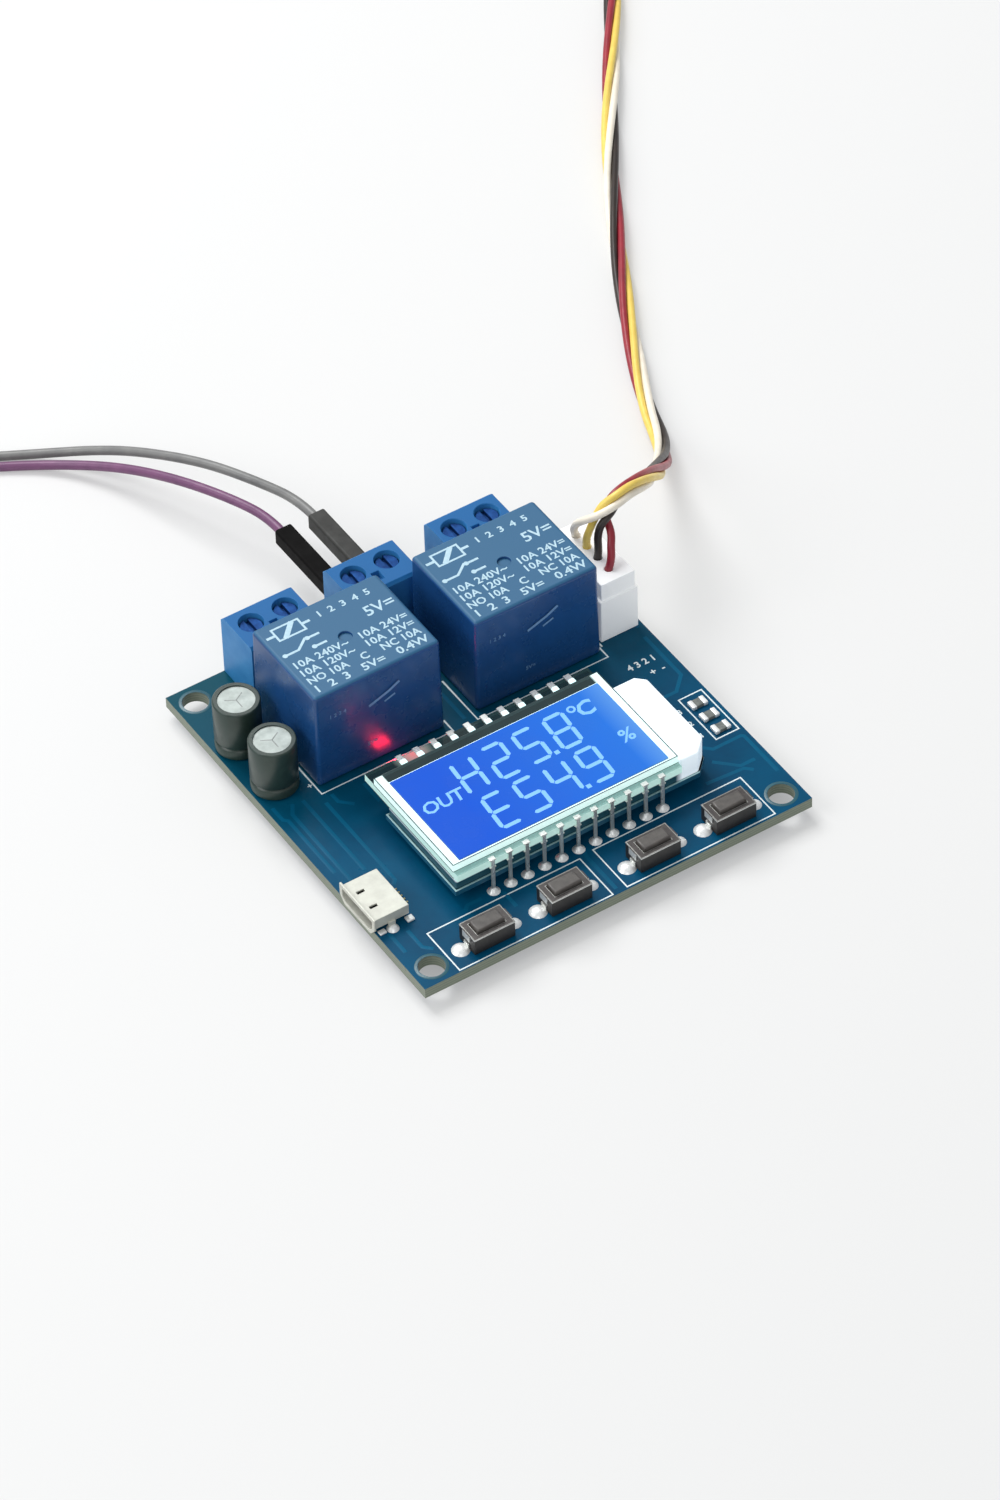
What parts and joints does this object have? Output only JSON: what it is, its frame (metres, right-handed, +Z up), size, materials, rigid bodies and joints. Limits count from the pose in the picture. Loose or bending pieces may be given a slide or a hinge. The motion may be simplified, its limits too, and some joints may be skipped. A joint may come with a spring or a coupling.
{
  "type": "temperature humidity controller module",
  "caption": "Circuit board with a lit display, push buttons, relays, screw terminals, a USB power socket and plug-in leads, one to a remote humidity sensor.",
  "frame": {"origin": "centre of the four mounting holes, on the underside of the circuit board", "axes": "+Z up through the components, +X right along the front edge with the buttons, +Y back towards the screw terminals"},
  "size_m": [0.2182, 0.2273, 0.0217],
  "materials": {
    "board": "satin",
    "relay": "satin",
    "relay_base": "matte",
    "terminal": "satin",
    "steel": "satin",
    "tin": "satin",
    "aluminium": "satin",
    "sleeve": "satin",
    "black": "matte",
    "pane": "clear",
    "film": "clear",
    "guide": "satin",
    "white": "matte",
    "lead_purple": "matte",
    "lead_grey": "matte",
    "lead_bundle": "matte",
    "dark_grey": "matte",
    "red": "clear",
    "ceramic": "matte"
  },
  "bodies": {
    "module": {"circuit_board": "board", "terminal_contacts": "tin", "relay_pins": "tin", "capacitor_leads": "tin", "usb_shell": "tin", "usb_tongue": "black", "display_front_glass": "pane", "display_rear_glass": "pane", "display_film": "film", "light_guide": "guide", "display_tray": "white", "display_pins": "tin", "switch_covers": "steel", "switch_legs": "tin", "sensor_header": "white", "sensor_header_pins": "tin", "sensor_plug": "white", "sensor_lead": "lead_bundle", "sensor_probe": "white", "jumper_1_housing": "black", "jumper_1_lead": "lead_purple", "jumper_1_end": "black", "jumper_2_housing": "dark_grey", "jumper_2_lead": "lead_grey", "jumper_2_end": "dark_grey", "jumper_pins": "tin", "red_indicator": "red", "chip_parts": "ceramic", "controller_chip": "black", "relay_1_case": "relay", "relay_1_base": "relay_base", "capacitor_1_can": "aluminium", "capacitor_1_sleeve": "sleeve", "relay_2_case": "relay", "relay_2_base": "relay_base", "capacitor_2_can": "aluminium", "capacitor_2_sleeve": "sleeve", "switch_1_base": "black", "switch_2_base": "black", "switch_3_base": "black", "switch_4_base": "black", "terminal_a_housing": "terminal", "terminal_b_housing": "terminal", "terminal_c_housing": "terminal"},
    "button_1": {"switch_1_plunger": "dark_grey"},
    "button_2": {"switch_2_plunger": "dark_grey"},
    "button_3": {"switch_3_plunger": "dark_grey"},
    "button_4": {"switch_4_plunger": "dark_grey"},
    "screw_a1": {"clamp_screw_a1": "steel"},
    "cage_a1": {"clamp_cage_a1": "tin"},
    "screw_a2": {"clamp_screw_a2": "steel"},
    "cage_a2": {"clamp_cage_a2": "tin"},
    "screw_b1": {"clamp_screw_b1": "steel"},
    "cage_b1": {"clamp_cage_b1": "tin"},
    "screw_b2": {"clamp_screw_b2": "steel"},
    "cage_b2": {"clamp_cage_b2": "tin"},
    "screw_c1": {"clamp_screw_c1": "steel"},
    "cage_c1": {"clamp_cage_c1": "tin"},
    "screw_c2": {"clamp_screw_c2": "steel"},
    "cage_c2": {"clamp_cage_c2": "tin"}
  },
  "joints": [
    {"name": "button_1_press", "type": "slide", "parent": "module", "child": "button_1", "axis": [0, 0, -1], "range_m": [0, 0.00025], "stiffness_N_per_m": 4000, "springref_m": -0.00015},
    {"name": "button_2_press", "type": "slide", "parent": "module", "child": "button_2", "axis": [0, 0, -1], "range_m": [0, 0.00025], "stiffness_N_per_m": 4000, "springref_m": -0.00015},
    {"name": "button_3_press", "type": "slide", "parent": "module", "child": "button_3", "axis": [0, 0, -1], "range_m": [0, 0.00025], "stiffness_N_per_m": 4000, "springref_m": -0.00015},
    {"name": "button_4_press", "type": "slide", "parent": "module", "child": "button_4", "axis": [0, 0, -1], "range_m": [0, 0.00025], "stiffness_N_per_m": 4000, "springref_m": -0.00015},
    {"name": "screw_a1_turn", "type": "hinge", "parent": "module", "child": "screw_a1", "pos_m": [-0.01764, 0.02735, 0.0096], "axis": [0, 0, -1], "range_deg": [-865, 361]},
    {"name": "cage_a1_lift", "type": "slide", "parent": "module", "child": "cage_a1", "axis": [0, 0, 1], "range_m": [-0.0012, 0.0005]},
    {"name": "screw_a2_turn", "type": "hinge", "parent": "module", "child": "screw_a2", "pos_m": [-0.01256, 0.02735, 0.0096], "axis": [0, 0, -1], "range_deg": [-865, 361]},
    {"name": "cage_a2_lift", "type": "slide", "parent": "module", "child": "cage_a2", "axis": [0, 0, 1], "range_m": [-0.0012, 0.0005]},
    {"name": "screw_b1_turn", "type": "hinge", "parent": "module", "child": "screw_b1", "pos_m": [-0.00224, 0.02735, 0.0096], "axis": [0, 0, -1], "range_deg": [-865, 0]},
    {"name": "cage_b1_lift", "type": "slide", "parent": "module", "child": "cage_b1", "axis": [0, 0, 1], "range_m": [-0.0012, 0]},
    {"name": "screw_b2_turn", "type": "hinge", "parent": "module", "child": "screw_b2", "pos_m": [0.00284, 0.02735, 0.0096], "axis": [0, 0, -1], "range_deg": [-865, 0]},
    {"name": "cage_b2_lift", "type": "slide", "parent": "module", "child": "cage_b2", "axis": [0, 0, 1], "range_m": [-0.0012, 0]},
    {"name": "screw_c1_turn", "type": "hinge", "parent": "module", "child": "screw_c1", "pos_m": [0.01316, 0.02735, 0.0096], "axis": [0, 0, -1], "range_deg": [-865, 361]},
    {"name": "cage_c1_lift", "type": "slide", "parent": "module", "child": "cage_c1", "axis": [0, 0, 1], "range_m": [-0.0012, 0.0005]},
    {"name": "screw_c2_turn", "type": "hinge", "parent": "module", "child": "screw_c2", "pos_m": [0.01824, 0.02735, 0.0096], "axis": [0, 0, -1], "range_deg": [-865, 361]},
    {"name": "cage_c2_lift", "type": "slide", "parent": "module", "child": "cage_c2", "axis": [0, 0, 1], "range_m": [-0.0012, 0.0005]}
  ],
  "couplings": [
    {"joint": "screw_a1_turn", "follows": "cage_a1_lift", "rad_per_m": 12566},
    {"joint": "screw_a2_turn", "follows": "cage_a2_lift", "rad_per_m": 12566},
    {"joint": "screw_b1_turn", "follows": "cage_b1_lift", "rad_per_m": 12566},
    {"joint": "screw_b2_turn", "follows": "cage_b2_lift", "rad_per_m": 12566},
    {"joint": "screw_c1_turn", "follows": "cage_c1_lift", "rad_per_m": 12566},
    {"joint": "screw_c2_turn", "follows": "cage_c2_lift", "rad_per_m": 12566}
  ]
}
